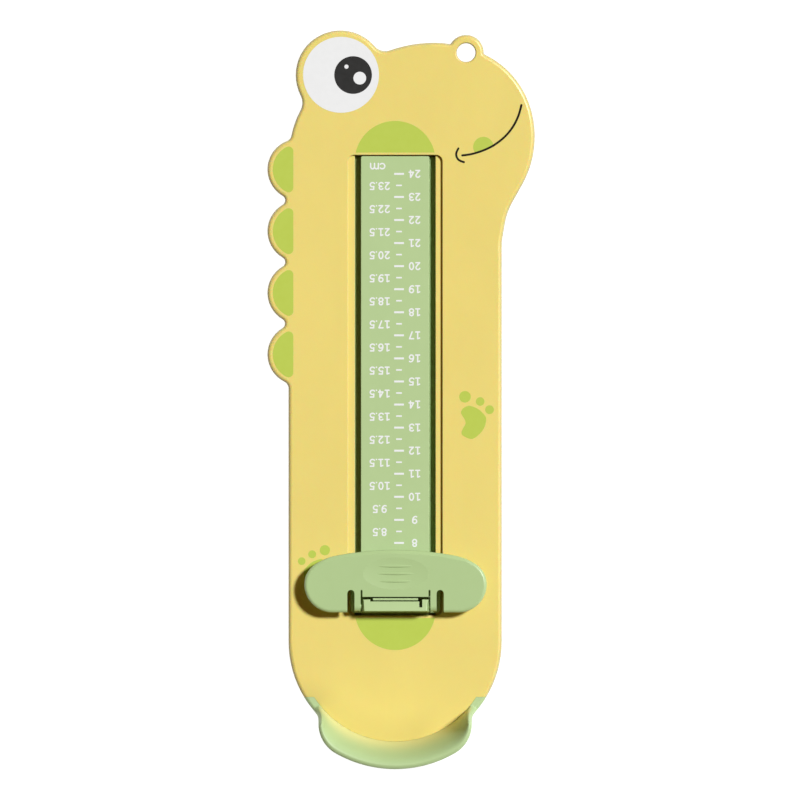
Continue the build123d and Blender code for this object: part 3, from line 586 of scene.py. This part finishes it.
def simplify(loop, tol):
    """Drops points that lie on the line between their neighbours to within tol."""
    def run(pts):
        if len(pts) < 3:
            return pts
        a, b = np.array(pts[0]), np.array(pts[-1])
        d = b - a
        L = np.linalg.norm(d)
        q = np.array(pts[1:-1]) - a
        dist = np.hypot(q[:, 0], q[:, 1]) if L < 1e-9 else np.abs(d[0] * q[:, 1] - d[1] * q[:, 0]) / L
        k = int(dist.argmax())
        if dist[k] <= tol:
            return [pts[0], pts[-1]]
        return run(pts[:k + 2])[:-1] + run(pts[k + 1:])

    half = len(loop) // 2
    return run(loop[:half + 1])[:-1] + run(loop[half:] + loop[:1])[:-1]


def area(loop):
    return sum(p[0] * q[1] - q[0] * p[1] for p, q in zip(loop, loop[1:] + loop[:1])) / 2


def inside(p, loop):
    hit = False
    for a, b in zip(loop, loop[1:] + loop[:1]):
        if (a[1] > p[1]) != (b[1] > p[1]) and p[0] < (b[0] - a[0]) * (p[1] - a[1]) / (b[1] - a[1]) + a[0]:
            hit = not hit
    return hit


GLYPHS = {}
for ch, strokes in glyph_strokes().items():
    loops = outline_of(strokes, PEN if ch != "." else 0.66, INK_WIDTH.get(ch, GLYPH_W), GLYPH_H)
    outer = [l for l in loops if area(l) > 0]
    holes = [l for l in loops if area(l) < 0]
    GLYPHS[ch] = [[o_] + [h_ for h_ in holes if inside(h_[0], o_)] for o_ in outer]


def text_shapes(text, u, v, height=GLYPH_H):
    """The text's shapes, centred on (u, v) and read from the head end."""
    width = sum(ADVANCE.get(c, 2.74) for c in text[:-1]) + INK_WIDTH.get(text[-1], GLYPH_W)
    x = 0.0
    shapes = []
    for c in text:
        for loops in GLYPHS[c]:
            shapes.append([[(u + width / 2 - x - p[0], v + height / 2 - p[1]) for p in loop] for loop in loops])
        x += ADVANCE.get(c, 2.74)
    return shapes


def bar(u0, u1, v, t, r=0.12):
    """Tick with slightly rounded corners."""
    out = []
    for cx, cy, a0 in ((u1 - r, v + t / 2 - r, 0), (u0 + r, v + t / 2 - r, 90), (u0 + r, v - t / 2 + r, 180), (u1 - r, v - t / 2 + r, 270)):
        out += arc((cx, cy), r, a0, a0 + 90, 4)
    return out


def tick_v(n):
    return 97.90 - 10.0 * (24 - n)


ticks, whole, halves = [], [], []
for n in range(8, 25):
    ticks.append([bar(-0.45, 3.82, tick_v(n), 0.84)])
    whole += text_shapes(str(n), 8.44, tick_v(n))
    if n < 24:
        ticks.append([bar(0.40, 2.92, tick_v(n + 0.5), 0.66)])
        halves += text_shapes(f"{n}.5", -6.70, tick_v(n + 0.5) - 0.27)
printed("scale_ticks", ticks, Z_RAIL, mat_white)
printed("scale_numbers_whole", whole, Z_RAIL, mat_white)
printed("scale_numbers_half", halves, Z_RAIL, mat_white)
printed("scale_unit", text_shapes("cm", -7.58, 101.25, 2.92), Z_RAIL, mat_white)


# ------------------------------------------------------------------ floor, light and camera
floor_mesh = bpy.data.meshes.new("floor")
bm = bmesh.new()
bmesh.ops.create_grid(bm, x_segments=2, y_segments=2, size=6.0)
bm.to_mesh(floor_mesh)
bm.free()
floor = bpy.data.objects.new("floor", floor_mesh)
scene.collection.objects.link(floor)
floor.location = (0, 0, -0.00002)
mat_floor, nt = new_material("pale_floor")
out = add(nt, "ShaderNodeOutputMaterial")
bsdf = add(nt, "ShaderNodeBsdfPrincipled")
bsdf.inputs["Base Color"].default_value = (0.18, 0.18, 0.18, 1)
bsdf.inputs["Roughness"].default_value = 0.9
bsdf.inputs["Emission Color"].default_value = (1, 1, 1, 1)
bsdf.inputs["Emission Strength"].default_value = 1.0
nt.links.new(bsdf.outputs["BSDF"], out.inputs["Surface"])
floor_mesh.materials.append(mat_floor)

KEY = Vector((0.505, 0.285, 0.815)).normalized()
sun = bpy.data.lights.new("key_light", "SUN")
sun.energy = 3.74
sun.angle = 0.157
sun_o = bpy.data.objects.new("key_light", sun)
sun_o.rotation_mode = "QUATERNION"
sun_o.rotation_quaternion = (-KEY).to_track_quat("-Z", "Y")
scene.collection.objects.link(sun_o)

world = bpy.data.worlds.new("studio")
scene.world = world
world.use_nodes = True
background = world.node_tree.nodes["Background"]
background.inputs["Color"].default_value = (1.0, 0.60, 0.14, 1)
background.inputs["Strength"].default_value = 0.104

cam = bpy.data.cameras.new("camera")
cam.lens = 1000.0
cam.sensor_width = 36.0
cam.clip_start, cam.clip_end = 0.1, 40.0
cam_o = bpy.data.objects.new("camera", cam)
scene.collection.objects.link(cam_o)
cam_o.location = (-0.458 * MM, -0.13 * MM, Z_PLATE * MM + 0.346768 * 1000.0 / 36.0)
cam_o.rotation_euler = (0, 0, 0)
scene.camera = cam_o
